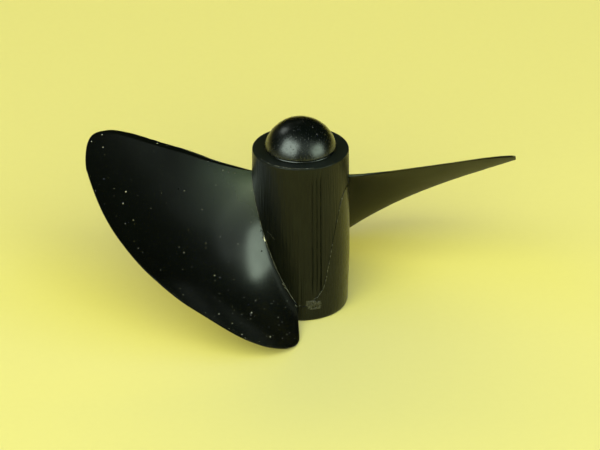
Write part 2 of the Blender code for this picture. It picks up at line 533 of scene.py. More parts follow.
def result_of(source):
    """The mesh that an object's modifiers give."""
    bpy.context.view_layer.update()
    graph = bpy.context.evaluated_depsgraph_get()
    return bpy.data.meshes.new_from_object(source.evaluated_get(graph), depsgraph=graph)


def evaluated_mesh(name, tree, values, source=None):
    """A plain object with the tree's result, made on a source object or on an empty mesh."""
    if source is None:
        source = add_object(name + "_source", bpy.data.meshes.new(name + "_source"))
    modifier = source.modifiers.new("Rule", "NODES")
    modifier.node_group = tree
    for item in tree.interface.items_tree:
        if item.item_type == "SOCKET" and item.in_out == "INPUT" and item.name in values:
            modifier[item.identifier] = values[item.name]
    mesh = result_of(source)
    mesh.name = name
    bpy.data.objects.remove(source, do_unlink=True)
    return add_object(name, mesh)


def joined(base, other):
    """The union of two closed objects under the first one's name. Both are removed."""
    union = base.modifiers.new("Join", "BOOLEAN")
    union.operation = "UNION"
    union.object = other
    union.solver = "EXACT"
    union.material_mode = "TRANSFER"
    mesh = result_of(base)
    name = base.name
    bpy.data.objects.remove(other, do_unlink=True)
    bpy.data.objects.remove(base, do_unlink=True)
    return add_object(name, mesh)


# Geometry trees


def geometry_tree(name, inputs):
    """A tree with geometry, material and these {name: default} inputs, and Fields of them by name."""
    tree = bpy.data.node_groups.new(name, "GeometryNodeTree")
    tree.interface.new_socket("Geometry", in_out="INPUT", socket_type="NodeSocketGeometry")
    for label, default in inputs.items():
        kind = "NodeSocketInt" if isinstance(default, int) else "NodeSocketFloat"
        tree.interface.new_socket(label, in_out="INPUT", socket_type=kind).default_value = default
    tree.interface.new_socket("Material", in_out="INPUT", socket_type="NodeSocketMaterial")
    tree.interface.new_socket("Geometry", in_out="OUTPUT", socket_type="NodeSocketGeometry")
    start = tree.nodes.new("NodeGroupInput")
    return tree, {label: Field(start.outputs[label]) for label in ("Geometry", *inputs, "Material")}


def end_tree(tree, given, geometry, smooth=True):
    """The tree, with Realize Instances, shading and Set Material before its output."""
    real = node(tree, "GeometryNodeRealizeInstances", {"Geometry": geometry})
    shade = node(tree, "GeometryNodeSetShadeSmooth", {"Geometry": real.outputs[0], "Shade Smooth": smooth})
    coat = node(
        tree, "GeometryNodeSetMaterial", {"Geometry": shade.outputs[0], "Material": given["Material"]}
    )
    node(tree, "NodeGroupOutput", {0: coat.outputs[0]})
    return tree


def position(tree):
    return tree.nodes.new("GeometryNodeInputPosition").outputs[0]


def closed_grid(tree, around, along):
    """A grid of faces to be rolled up, with Fields across (0 to 1), along (0 to 1)."""
    sizes = {"Size X": 1.0, "Size Y": 1.0, "Vertices X": around, "Vertices Y": along}
    grid = node(tree, "GeometryNodeMeshGrid", sizes)
    x, y, _ = separate(position(tree))
    return grid.outputs["Mesh"], x + 0.5, y + 0.5


def placed(mesh, place):
    """The mesh with each point moved to its place, and the seams merged."""
    moved = node(mesh.id_data, "GeometryNodeSetPosition", {"Geometry": mesh, "Position": place})
    links = {"Geometry": moved.outputs[0], "Distance": SEAM_DISTANCE}
    return node(mesh.id_data, "GeometryNodeMergeByDistance", links).outputs[0]


# The blades' rule


def through(values, share):
    """The quadratic through the values at share 0, 0.5 and 1, and its slope. Share may be a Field."""
    root, half, tip = values
    first = -3 * root + 4 * half - tip
    second = 2 * root - 4 * half + 2 * tip
    return share * (share * second + first) + root, share * (2 * second) + first


def face_rule(radius, angle):
    """Fields of the upper face: its height, its slopes along X and Y, and the angle's cosine and sine."""
    span = TIP_RADIUS - ROOT_RADIUS
    share = (radius - ROOT_RADIUS) / span
    turn = angle - FACE_MIDDLE
    square = turn * turn
    cube = square * turn
    height, height_out = through(FACE_HEIGHT, share)
    lead, lead_out = through([pitch / FULL_TURN for pitch in PITCH], share)
    bow, bow_out = through(FACE_BOW, share)
    tail, tail_out = through(FACE_TAIL, share)
    face = height - lead * turn + bow * square + tail * cube
    around = bow * turn * 2.0 - lead + tail * square * 3.0
    outward = (height_out - lead_out * turn + bow_out * square + tail_out * cube) / span
    cosine = angle.math("COSINE")
    sine = angle.math("SINE")
    slope_x = outward * cosine - around * sine / radius
    slope_y = outward * sine + around * cosine / radius
    return face, slope_x, slope_y, cosine, sine


def section_curve(place, column, low, high):
    """One column of SECTIONS as a smooth Field of the place from root (0) to tip (1)."""
    last = len(SECTIONS) - 1
    points = [(i / last, (row[column] - low) / (high - low)) for i, row in enumerate(SECTIONS)]
    return place.curve(points) * (high - low) + low


def section_loop(across, upper_end, edge_end):
    """Where a point lies on the loop round a section.

    The upper skin ends at upper_end and the leading edge at edge_end. The chord goes from 0 at
    the trailing edge to 1 at the leading edge and back, and the side from 0 on the upper skin to
    1 on the lower one and back.
    """
    lower_end = edge_end + upper_end
    chord = across.ramp(0.0, upper_end) - across.ramp(edge_end, lower_end)
    side = across.ramp(upper_end, edge_end) - across.ramp(lower_end, 1.0)
    return chord, side


def eased_share(chord, chord_steps, bevel_share):
    """The share of the chord that lies before a point, and the share of the bevel.

    The first two steps cross the bevel and the third keeps its crest crisp. The others close up
    towards the leading edge.
    """
    step = chord * chord_steps
    on_bevel = step.ramp(0.0, 1.0) * 0.85 + step.ramp(1.0, 2.0) * 0.15
    crest = step.ramp(2.0, 3.0) * 0.15
    beyond = step.ramp(3.0, chord_steps)
    eased = (beyond * (math.pi / 2)).math("SINE") * 0.5 + beyond * 0.5
    return bevel_share * (on_bevel + crest) + (1.0 - bevel_share * 1.15) * eased, on_bevel


def turned_copies(tree, blade, count):
    """One copy for each blade, turned about the shaft."""
    points = node(tree, "GeometryNodePoints", {"Count": count})
    index = Field(tree.nodes.new("GeometryNodeInputIndex").outputs[0])
    turned = combine(0.0, 0.0, index * FULL_TURN / count)
    links = {"Points": points.outputs[0], "Instance": blade, "Rotation": turned}
    return node(tree, "GeometryNodeInstanceOnPoints", links).outputs[0]


def blades_tree():
    """Blades as one rolled grid each: upper skin, leading edge, lower skin, trailing edge."""
    tree, given = geometry_tree(
        "Screw blades",
        {
            "Blades": 2,
            "Span Steps": 96,
            "Chord Steps": 44,
            "Edge Steps": 6,
            "Trailing Thickness": 0.00020,
            "Leading Thickness": 0.00014,
            "Bevel Slope": 0.325,
        },
    )
    chord_steps = given["Chord Steps"]
    edge_steps = given["Edge Steps"]
    trailing_edge = given["Trailing Thickness"]
    leading_edge = given["Leading Thickness"]
    loop = (chord_steps + edge_steps) * 2.0
    mesh, across, along = closed_grid(tree, loop + 1.0, given["Span Steps"] + 1.0)
    upper_end = chord_steps / loop
    chord, side = section_loop(across, upper_end, upper_end + edge_steps / loop)

    radius = section_curve(along, 0, 0.0, 21.0) * MILLIMETRE
    trailing = section_curve(along, 1, 165.0, 185.0)
    leading = section_curve(along, 2, 175.0, 275.0)
    middle = section_curve(along, 3, 0.0, 1.5) * MILLIMETRE
    bevel = section_curve(along, 4, 0.0, 1.0) * MILLIMETRE
    wrap = (leading - trailing) * DEGREE
    bevel_share = (bevel / (radius * wrap * CHORD_STRETCH)).math("MINIMUM", 0.2)
    share, on_bevel = eased_share(chord, chord_steps, bevel_share)

    # The section closes to nothing at its two ends, in a round at the tip
    edges = trailing_edge + (leading_edge - trailing_edge) * share
    bulge = share * (1.0 - share) * 4.0
    full = edges + (middle - (trailing_edge + leading_edge) * 0.5) * bulge
    last_ring = along.ramp(*TIP_CLOSING)
    first_ring = along.ramp(*ROOT_CLOSING)
    left_over = (1.0 - last_ring * last_ring).math("MAXIMUM", 0.0).math("SQRT") * first_ring
    thickness = full * left_over
    drop = bevel * given["Bevel Slope"] * (1.0 - on_bevel) * left_over
    depth = (full - thickness) * 0.5 + drop * (1.0 - side) + thickness * side

    rounding = (side * math.pi).math("SINE") * thickness * 0.5 * (share * 2.0 - 1.0)
    angle = trailing * DEGREE + wrap * share + rounding / (radius * EDGE_STRETCH)
    face, slope_x, slope_y, cosine, sine = face_rule(radius, angle)
    length = (slope_x * slope_x + slope_y * slope_y + 1.0).math("SQRT")
    x = radius * cosine + slope_x / length * depth
    y = radius * sine + slope_y / length * depth
    blade = placed(mesh, combine(x, y, face - depth / length))
    return end_tree(tree, given, turned_copies(tree, blade, given["Blades"]))


# Turned pieces


def arc(centre_radius, centre_height, radius, start, end, steps):
    """Profile points on an arc from the start to the end in degrees."""
    points = []
    for step in range(steps + 1):
        angle = math.radians(start + (end - start) * step / steps)
        points.append((centre_radius + radius * math.cos(angle), centre_height + radius * math.sin(angle)))
    return points


def straight(start, end, steps):
    """Profile points after start, up to and with end."""
    shares = [step / steps for step in range(1, steps + 1)]
    return [tuple(a + (b - a) * share for a, b in zip(start, end)) for share in shares]


def turned_piece(name, profile, sides, material):
    """A closed solid of revolution about Z from (radius, height) points."""
    work = bmesh.new()
    ring = [work.verts.new((radius, 0.0, height)) for radius, height in profile]
    edges = [work.edges.new(pair) for pair in zip(ring, ring[1:])]
    bmesh.ops.spin(
        work,
        geom=ring + edges,
        axis=(0, 0, 1),
        cent=(0, 0, 0),
        angle=FULL_TURN,
        steps=sides,
        use_merge=True,
    )
    mesh = bpy.data.meshes.new(name)
    clean(work, mesh)
    mesh.shade_smooth()
    mesh.materials.append(material)
    return add_object(name, mesh)


def hub_profile(rings):
    """From the cap's socket, over the top edge, down the wall, round the foot, and up the bush's socket.

    The wall's rings gather at HUB_MIDDLE. The hub's tree then bends them onto the parting line.
    """
    socket_floor = HUB_LENGTH - CAP_STEM_LENGTH
    top = arc(HUB_TOP_RADIUS - HUB_TOP_ROUND, WALL_TOP, HUB_TOP_ROUND, 90, 0, 4)
    foot = arc(HUB_FOOT_RADIUS - HUB_FOOT_ROUND, HUB_FOOT_ROUND, HUB_FOOT_ROUND, 0, -90, 8)
    face = straight((CAP_STEM_RADIUS, HUB_LENGTH), top[0], 8)[:-1]
    above = [(HUB_TOP_RADIUS, HUB_MIDDLE + gap) for gap in LINE_RINGS]
    below = [(HUB_FOOT_RADIUS, HUB_MIDDLE - gap) for gap in LINE_RINGS]
    return [
        (0.0, socket_floor),
        (CAP_STEM_RADIUS, socket_floor),
        (CAP_STEM_RADIUS, HUB_LENGTH),
        *face,
        *top,
        *straight(top[-1], above[0], rings // 2),
        *above[1:],
        *reversed(below),
        *straight(below[0], foot[0], rings // 2)[:-1],
        *foot,
        (BUSH_RADIUS, 0.0),
        (BUSH_RADIUS, BUSH_LENGTH),
        (0.0, BUSH_LENGTH),
    ]


def parting_height(half_turn):
    """A Field of the parting line's height, in metres."""
    top = 15.0
    points = [(degrees / 180.0, height / top) for degrees, height in PARTING_LINE]
    return half_turn.curve(points) * (top * MILLIMETRE)


def barrel_radius(height):
    """A Field of the hub's radius, which swells from its two ends to its widest height."""
    below_widest = 1.0 - height.ramp(0.0, HUB_WIDEST_HEIGHT)
    above_widest = height.ramp(HUB_WIDEST_HEIGHT, HUB_LENGTH)
    narrowed = below_widest * (HUB_RADIUS - HUB_FOOT_RADIUS) + above_widest * (HUB_RADIUS - HUB_TOP_RADIUS)
    return HUB_RADIUS - narrowed


def slide_grooves(half_turn, height):
    """A Field that is 1 in the middle of a groove and 0 beside it."""
    groove = 0.0
    for place in GROOVES:
        away = (half_turn - place).math("ABSOLUTE") / GROOVE_WIDTH
        groove = (1.0 - away).math("MAXIMUM", groove)
    return groove * height.ramp(*GROOVE_FOOT) * (1.0 - height.ramp(*GROOVE_END))


def hub_wall_tree():
    """Bends the wall's rings onto the parting line and cuts the mould's marks into the wall."""
    tree, given = geometry_tree(
        "Hub wall",
        {
            "Draw Depth": 0.00001,
            "Groove Depth": 0.00003,
            "Step": 0.00003,
            "Streaks Across": 9000.0,
            "Streaks Along": 300.0,
            "Seed": 3.0,
        },
    )
    x, y, z = separate(position(tree))
    radius = from_axis(x, y)
    half_turn = wrapped_angle(x, y)
    line = parting_height(half_turn)
    low_share = z.ramp(HUB_FOOT_ROUND, HUB_MIDDLE)
    high_share = z.ramp(HUB_MIDDLE, WALL_TOP)
    bent = low_share * (line - HUB_FOOT_ROUND) + high_share * (WALL_TOP - line) + HUB_FOOT_ROUND

    # Streaks along the draw, three grooves, and a step with a notch at the parting line
    across = given["Streaks Across"]
    stretched = combine(x * across, y * across, bent * given["Streaks Along"])
    wave = noise_field(stretched, 1.0, seed=given["Seed"]) - 0.5
    above = z.ramp(HUB_MIDDLE - 0.00001, HUB_MIDDLE + 0.00001)
    push = wave * given["Draw Depth"] * (above * 1.6 + 0.4)
    push = push - slide_grooves(half_turn, bent) * above * given["Groove Depth"]
    notch = above * (1.0 - z.ramp(HUB_MIDDLE + LINE_RINGS[2], HUB_MIDDLE + LINE_RINGS[1]))
    on_blade_side = (half_turn - 0.49).ramp(0.0, 0.01)
    push = push - (above + notch) * on_blade_side * given["Step"]

    below_top = 1.0 - z.ramp(WALL_TOP + 0.000001, WALL_TOP + 0.000005)
    on_wall = radius.ramp(HUB_FOOT_RADIUS - 0.00001, HUB_FOOT_RADIUS - 0.000001) * below_top
    marked = z.ramp(HUB_FOOT_ROUND, 0.0008) * (1.0 - z.ramp(WALL_TOP - 0.0004, WALL_TOP))
    new_radius = radius + (barrel_radius(bent) + push * marked - radius) * on_wall
    new_height = z + (bent - z) * on_wall
    scale = new_radius / radius.math("MAXIMUM", 0.000001)
    links = {"Geometry": given["Geometry"], "Position": combine(x * scale, y * scale, new_height)}
    return end_tree(tree, given, node(tree, "GeometryNodeSetPosition", links).outputs[0])


class PROPELLER_OT_moulding(bpy.types.Operator):
    """The hub and both blades as one moulding"""

    bl_idname = "propeller.moulding"
    bl_label = "Hub and blades"

    def execute(self, context):
        blades = settings("blades")
        hub = settings("hub")
        wall = turned_piece("propeller_moulding", hub_profile(hub.rings), hub.sides, moulded_plastic_hub())
        wall = evaluated_mesh(
            "propeller_moulding",
            hub_wall_tree(),
            {
                "Draw Depth": hub.draw_depth,
                "Groove Depth": hub.groove_depth,
                "Step": hub.mould_step,
                "Material": moulded_plastic_hub(),
            },
            source=wall,
        )
        screw = evaluated_mesh(
            "screw_blades",
            blades_tree(),
            {
                "Blades": blades.count,
                "Span Steps": blades.span_steps,
                "Chord Steps": blades.chord_steps,
                "Trailing Thickness": blades.trailing_thickness,
                "Leading Thickness": blades.leading_thickness,
                "Bevel Slope": math.tan(blades.bevel_angle),
                "Material": moulded_plastic_blade(),
            },
        )
        turn_outwards(screw.data)
        whole = joined(wall, screw)
        turn_outwards(whole.data)
        sharpen(whole.data, 40.0)
        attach(whole, BODY)
        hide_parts("hub_and_blades")
        return {"FINISHED"}


def cap_profile(rim_height):
    """The dome, its rim with a fine lip, the gap under the lip, and the stem."""
    foot = HUB_LENGTH + PRESS_PLAY
    dome_height = CAP_HEIGHT - rim_height
    ball_radius = (CAP_RADIUS**2 + dome_height**2) / (2 * dome_height)
    ball_centre = foot + CAP_HEIGHT - ball_radius
    rim_angle = math.degrees(math.acos(CAP_RADIUS / ball_radius))
    dome = arc(0.0, ball_centre, ball_radius, 90, rim_angle, 48)
    dome[0] = (0.0, dome[0][1])
    lip_radius = 0.000035
    lip_height = foot + 0.00009
    lip_centre = CAP_RADIUS - 0.00003 - lip_radius
    waist = (lip_centre, lip_height + 0.00006)
    lip = arc(lip_centre, lip_height, lip_radius, 45, -90, 6)
    neck = (CAP_FOOT_RADIUS, lip_height - lip_radius)
    stem = CAP_STEM_RADIUS - PRESS_PLAY
    stem_end = HUB_LENGTH - CAP_STEM_LENGTH + PRESS_PLAY
    below = [(CAP_FOOT_RADIUS, foot), (stem, foot), (stem, stem_end), (0.0, stem_end)]
    return [*dome, waist, *lip, neck, *below]


class PROPELLER_OT_nose_cap(bpy.types.Operator):
    """The domed cap pressed into the hub's upper end"""

    bl_idname = "propeller.nose_cap"
    bl_label = "Nose cap"

    def execute(self, context):
        cap = settings("cap")
        dome = turned_piece("domed_nose_cap", cap_profile(cap.rim_height), cap.sides, rubbed_plastic())
        sharpen(dome.data, 50.0)
        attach(dome, BODY)
        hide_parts("nose_cap")
        return {"FINISHED"}


def thread_tree():
    """The bush as a ring section rolled round the shaft, with the thread cut in its bore."""
    tree, given = geometry_tree(
        "Threaded bush",
        {
            "Pitch": 0.0007,
            "Core Radius": 0.00165,
            "Depth": 0.00036,
            "Length": BUSH_LENGTH,
            "Outer Radius": BUSH_RADIUS,
            "Points Around": 97,
            "Points Along": 201,
        },
    )
    core = given["Core Radius"]
    mesh, around, section = closed_grid(tree, given["Points Around"], given["Points Along"])
    # Up the outer wall, across the top, down the bore and back across the foot
    up = section.ramp(0.0, 0.02)
    inward = section.ramp(0.02, 0.04)
    down = section.ramp(0.04, 0.96)
    outward = section.ramp(0.96, 1.0)
    height = given["Length"] * (up - down)
    angle = around * FULL_TURN
    # Teeth with flat crests and roots, and a mouth that opens wider at the foot
    turn = (height / given["Pitch"] - around).math("FLOORED_MODULO", 1.0)
    tooth = ((turn - 0.5).math("ABSOLUTE") * 2.6 - 0.25).math("MAXIMUM", 0.0).math("MINIMUM", 1.0)
    mouth = 1.0 - height.ramp(0.0, 0.00035)
    bore = core + given["Depth"] * tooth.math("MAXIMUM", mouth)
    bore = bore.math("MAXIMUM", core + mouth * 0.0004)
    on_bore = inward * (1.0 - outward)
    radius = given["Outer Radius"] * (1.0 - on_bore) + bore * on_bore
    rolled = combine(radius * angle.math("COSINE"), radius * angle.math("SINE"), height)
    return end_tree(tree, given, placed(mesh, rolled))


class PROPELLER_OT_shaft_bush(bpy.types.Operator):
    """The brass bush in the hub's drive end, with its shaft thread"""

    bl_idname = "propeller.shaft_bush"
    bl_label = "Shaft bush"

    def execute(self, context):
        bush = settings("bush")
        made = evaluated_mesh(
            "threaded_shaft_bush",
            thread_tree(),
            {
                "Pitch": bush.thread_pitch,
                "Core Radius": bush.core_radius,
                "Depth": bush.thread_depth,
                "Length": BUSH_LENGTH - PRESS_PLAY,
                "Outer Radius": BUSH_RADIUS - PRESS_PLAY,
                "Material": turned_brass(),
            },
        )
        turn_outwards(made.data)
        sharpen(made.data, 30.0)
        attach(made, BODY)
        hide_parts("shaft_bush")
        return {"FINISHED"}


# Flash, burrs, scar, dust and lint


def bead_tree():
    """A thin ragged bead along each line of edges."""
    tree, given = geometry_tree(
        "Ragged bead",
        {"Radius": 0.00003, "Spacing": 0.00006, "Raggedness": 0.8, "Wander": 0.00002, "Seed": 1.0},
    )
    curve = node(tree, "GeometryNodeMeshToCurve", {"Mesh": given["Geometry"]})
    spaced = {"Curve": curve.outputs[0], "Length": given["Spacing"]}
    even = node(tree, "GeometryNodeResampleCurve", spaced, mode="LENGTH")
    tears = noise(position(tree), 5200.0, seed=given["Seed"])
    torn = Field(tears.outputs[0]).ramp(0.38, 0.62)
    centred = node(
        tree, "ShaderNodeVectorMath", {0: tears.outputs[1], 1: (0.5, 0.5, 0.5)}, operation="SUBTRACT"
    )
    offset = node(
        tree, "ShaderNodeVectorMath", {0: centred.outputs[0], "Scale": given["Wander"]}, operation="SCALE"
    )
    shifted = {"Geometry": even.outputs[0], "Offset": offset.outputs[0]}
    moved = node(tree, "GeometryNodeSetPosition", shifted)
    thinned = 1.0 - given["Raggedness"] * (1.0 - torn)
    sized = node(tree, "GeometryNodeSetCurveRadius", {"Curve": moved.outputs[0], "Radius": thinned})
    ring = node(tree, "GeometryNodeCurvePrimitiveCircle", {"Resolution": 6, "Radius": given["Radius"]})
    links = {
        "Curve": sized.outputs[0],
        "Profile Curve": ring.outputs[0],
        "Scale": tree.nodes.new("GeometryNodeInputRadius").outputs[0],
        "Fill Caps": True,
    }
    return end_tree(tree, given, node(tree, "GeometryNodeCurveToMesh", links).outputs[0])


def bead(name, lines, radius, material, raggedness, wander, seed=1.0):
    """A piece with one ragged bead along each line of points."""
    points, edges = [], []
    for line in lines:
        first = len(points)
        points.extend(line)
        edges.extend((number, number + 1) for number in range(first, len(points) - 1))
    mesh = bpy.data.meshes.new(name)
    mesh.from_pydata(points, edges, [])
    values = {
        "Radius": radius,
        "Raggedness": raggedness,
        "Wander": wander,
        "Seed": seed,
        "Material": material,
    }
    made = evaluated_mesh(name, bead_tree(), values, source=add_object(name, mesh))
    turn_outwards(made.data)
    made.data.shade_smooth()
    return made


def on_wall(degrees, height, out=0.0):
    """A point on the hub's wall, or out from it."""
    if height < HUB_WIDEST_HEIGHT:
        end_radius, share = HUB_FOOT_RADIUS, 1 - height / HUB_WIDEST_HEIGHT
    else:
        end_radius, share = HUB_TOP_RADIUS, (height - HUB_WIDEST_HEIGHT) / (HUB_LENGTH - HUB_WIDEST_HEIGHT)
    radius = HUB_RADIUS - (HUB_RADIUS - end_radius) * share + out
    angle = math.radians(degrees)
    return (radius * math.cos(angle), radius * math.sin(angle), height)


def face_height(radius, degrees):
    """Height of the first blade's upper face."""
    share = (radius - ROOT_RADIUS) / (TIP_RADIUS - ROOT_RADIUS)
    turn = math.radians(degrees) - FACE_MIDDLE
    rules = (FACE_HEIGHT, PITCH, FACE_BOW, FACE_TAIL)
    height, pitch, bow, tail = (through(values, share)[0] for values in rules)
    return height - pitch * turn / FULL_TURN + bow * turn**2 + tail * turn**3


def on_face(radius, degrees, out=0.0):
    """A point on the first blade's upper face, radius in millimetres, or up from it."""
    radius = radius * MILLIMETRE
    angle = math.radians(degrees)
    return (radius * math.cos(angle), radius * math.sin(angle), face_height(radius, degrees) + out)


def wall_lines():
    """The parting line's way up the hub's wall, on both sides."""
    wall = PARTING_LINE[WALL_LINE_START:WALL_LINE_END]
    return [
        [on_wall(180.0 + turn + degrees, height * MILLIMETRE) for degrees, height in wall]
        for turn in BLADE_TURNS
    ]


def root_lines():
    """Where the blades' upper faces meet the hub."""
    root = [(degrees, face_height(ROOT_RADIUS, degrees) + BEAD_OUT) for degrees in range(178, 268, 3)]
    return [[on_wall(degrees + turn, height, BEAD_OUT) for degrees, height in root] for turn in BLADE_TURNS]


def top_edge_line():
    """Part of the hub's top edge, on the top face near the wall."""
    edge = [on_wall(degrees, HUB_LENGTH, -BURR_INSET) for degrees in range(212, 288, 3)]
    return [(x, y, height + BEAD_OUT) for x, y, height in edge]


def nib_lines():
    return [
        [on_face(radius, start + length * part) for part in (0.0, 0.5, 1.0)]
        for radius, start, length in NIBS
    ]


class PROPELLER_OT_flash(bpy.types.Operator):
    """Flash along the parting line, beads at the blade roots, torn nibs and the burr on the hub's top"""

    bl_idname = "propeller.flash"
    bl_label = "Flash and burrs"

    def execute(self, context):
        flash = settings("flash")
        # Name, lines, radius in proportion to the burr's, raggedness and wander
        beads = (
            ("parting_line_flash", wall_lines(), 0.8, 0.97, 0.00002),
            # The root bead is pale torn plastic, which also paints the highlight along the blade roots
            ("blade_root_bead", root_lines(), 0.7, 0.6, 0.00001),
            ("hub_top_burr", [top_edge_line()], 1.0, 0.88, 0.00003),
            ("torn_nibs", nib_lines(), 1.1, 0.4, 0.00002),
        )
        for number, (name, lines, width, raggedness, wander) in enumerate(beads):
            radius = flash.height * width
            piece = bead(name, lines, radius, torn_plastic(), raggedness, wander, flash.seed + number)
            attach(piece, BODY)
        return {"FINISHED"}


def gate_scar_tree():
    """A block bent onto the hub's wall, with a broken outer face and a ragged outline."""
    tree, given = geometry_tree(
        "Gate scar",
        {
            "Angle": math.radians(287.0),
            "Height": 0.0017,
            "Width": 0.0017,
            "Tall": 0.0011,
            "Depth": 0.00009,
            "Seed": 5.0,
        },
    )
    block = node(
        tree,
        "GeometryNodeMeshCube",
        {"Size": (1.0, 1.0, 1.0), "Vertices X": 44, "Vertices Y": 30, "Vertices Z": 2},
    )
    across, up, out = separate(position(tree))
    rough = noise_field(combine(across * 5.0, up * 3.5, 0.0), 1.0, 3.0, seed=given["Seed"])
    ragged = (rough - 0.5) * 0.9
    worn_sides = 1.0 - (across.math("ABSOLUTE") + ragged).ramp(0.34, 0.46)
    worn_ends = 1.0 - (up.math("ABSOLUTE") - ragged).ramp(0.30, 0.46)
    # The block's back lies inside the wall, and its outer face comes out of it where it is broken
    broken = rough.ramp(0.3, 0.72) * worn_sides * worn_ends
    rise = out.ramp(0.0, 0.1) * (broken * given["Depth"] + SCAR_THICKNESS) - SCAR_BACK
    angle = given["Angle"] + across * given["Width"] / HUB_RADIUS
    height = given["Height"] + up * given["Tall"]
    swell = height * ((HUB_RADIUS - HUB_FOOT_RADIUS) / HUB_WIDEST_HEIGHT)
    radius = swell + rise + HUB_FOOT_RADIUS
    bent = combine(radius * angle.math("COSINE"), radius * angle.math("SINE"), height)
    return end_tree(tree, given, placed(block.outputs["Mesh"], bent))


class PROPELLER_OT_gate_scar(bpy.types.Operator):
    """The rough patch near the hub's foot where the moulding was broken from its runner"""

    bl_idname = "propeller.gate_scar"
    bl_label = "Gate scar"

    def execute(self, context):
        made = evaluated_mesh("gate_scar", gate_scar_tree(), {"Material": scarred_plastic()})
        turn_outwards(made.data)
        sharpen(made.data, 50.0)
        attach(made, BODY)
        return {"FINISHED"}


def random_field(tree, least, most, seed):
    chance = node(tree, "FunctionNodeRandomValue", {2: least, 3: most, "Seed": seed})
    return Field(chance.outputs["Value"])


def dust_tree():
    """Specks strewn on the faces that look up, more of them low down, each a small stretched ball."""
    tree, given = geometry_tree("Dust", {"Density": 260000.0, "Size": 0.00002, "Seed": 11})
    normal = separate(tree.nodes.new("GeometryNodeInputNormal").outputs[0])[2]
    x, y, z = separate(position(tree))
    faces_up = normal.ramp(0.35, 0.6)
    off_cap = from_axis(x, y).ramp(HUB_RADIUS, HUB_RADIUS + 0.0003)
    lower = 1.0 - z.ramp(0.0035, 0.0085) + 0.45
    density = given["Density"] * faces_up * off_cap * lower
    strewn = node(
        tree,
        "GeometryNodeDistributePointsOnFaces",
        {"Mesh": given["Geometry"], "Density": density, "Seed": given["Seed"]},
    )
    ball = node(tree, "GeometryNodeMeshIcoSphere", {"Radius": given["Size"], "Subdivisions": 1})
    chance = random_field(tree, 0.0, 1.0, given["Seed"])
    grown = chance * chance * chance * chance * 2.2 + 0.6
    longer = grown * random_field(tree, 0.6, 1.6, 5)
    specks = node(
        tree,
        "GeometryNodeInstanceOnPoints",
        {
            "Points": strewn.outputs["Points"],
            "Instance": ball.outputs["Mesh"],
            "Rotation": combine(0.0, 0.0, random_field(tree, 0.0, FULL_TURN, 7)),
            "Scale": combine(longer, grown, grown * 0.8),
        },
    )
    return end_tree(tree, given, specks.outputs[0], smooth=False)


def hair_line():
    return [
        on_wall(HAIR_START + HAIR_SWEEP * share, HAIR_HEIGHT - HAIR_SAG * share**2, HAIR_OUT)
        for share in (step / HAIR_STEPS for step in range(HAIR_STEPS + 1))
    ]


def fleck_line():
    return [
        on_face(FLECK_PLACE, FLECK_DEGREES - step, FLECK_RISE * (1.0 + step))
        for step in (0.0, 1.0, 2.0)
    ]


class PROPELLER_OT_dust(bpy.types.Operator):
    """Dust specks on the blades, one fleck at the root and a hair on the hub"""

    bl_idname = "propeller.dust"
    bl_label = "Dust and lint"

    def execute(self, context):
        dust = settings("dust")
        moulding = bpy.data.objects.get("propeller_moulding")
        if moulding is None:
            raise RuntimeError("The dust lies on the hub and blades, so make them first")
        ground = add_object("propeller_moulding", moulding.data.copy())
        values = {"Density": dust.density, "Size": dust.size, "Seed": dust.seed, "Material": lint()}
        pieces = (
            evaluated_mesh("dust_specks", dust_tree(), values, source=ground),
            bead("lint_hair", [hair_line()], HAIR_RADIUS, torn_plastic(), 0.0, 0.00001),
            bead("root_fleck", [fleck_line()], FLECK_RADIUS, lint(), 0.3, 0.00003),
        )
        for piece in pieces:
            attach(piece, BODY)
        return {"FINISHED"}


# Materials


def shader_group(name, inputs, outputs):
    """Turns a function from number Fields to number Fields into a named node group.

    The function then takes nothing, makes the group at its first call and finds it later.
    """

    def decorate(content):
        def find():
            if name in bpy.data.node_groups:
                return bpy.data.node_groups[name]
            group = bpy.data.node_groups.new(name, "ShaderNodeTree")
            for label, default in inputs.items():
                socket = group.interface.new_socket(label, in_out="INPUT", socket_type="NodeSocketFloat")
                socket.default_value = default
            for label in outputs:
                group.interface.new_socket(label, in_out="OUTPUT", socket_type="NodeSocketFloat")
            start = group.nodes.new("NodeGroupInput")
            results = content(group, *(Field(start.outputs[label]) for label in inputs))
            node(group, "NodeGroupOutput", dict(zip(outputs, results)))
            return group

        return find

    return decorate


def use_group(tree, group, inputs=None):
    """The outputs of a group that is used in a tree, as Fields by name."""
    made = node(tree, "ShaderNodeGroup", inputs, node_tree=group)
    return {output.name: Field(output) for output in made.outputs}


def object_place(tree):
    return tree.nodes.new("ShaderNodeTexCoord").outputs["Object"]


@shader_group("Fine grain", {"Scale": 9000.0, "Amount": 1.0}, ("Height", "Patches"))
def fine_grain_group(group, scale, amount):
    """Even grain of a moulded surface."""
    place = object_place(group)
    return noise_field(place, scale, 3.0, 0.65) * amount, noise_field(place, 420.0, 3.0, 0.6)


@shader_group("Draw streaks", {"Across": 14000.0, "Along": 500.0}, ("Streaks", "Upper Half", "Height"))
def draw_streaks_group(group, across, along):
    """Streaks along the shaft axis that the mould's draw leaves, and which mould half a point is on."""
    x, y, z = separate(object_place(group))
    streaks = noise_field(combine(x * across, y * across, z * along), 1.0, 4.0, 0.6)
    upper = (z - parting_height(wrapped_angle(x, y))).ramp(-0.00004, 0.00004)
    below_top = 1.0 - (z - HUB_LENGTH + 0.0001).ramp(0.0, 0.00008)
    return streaks, upper, (streaks - 0.5) * (upper * 0.8 + 0.2) * below_top


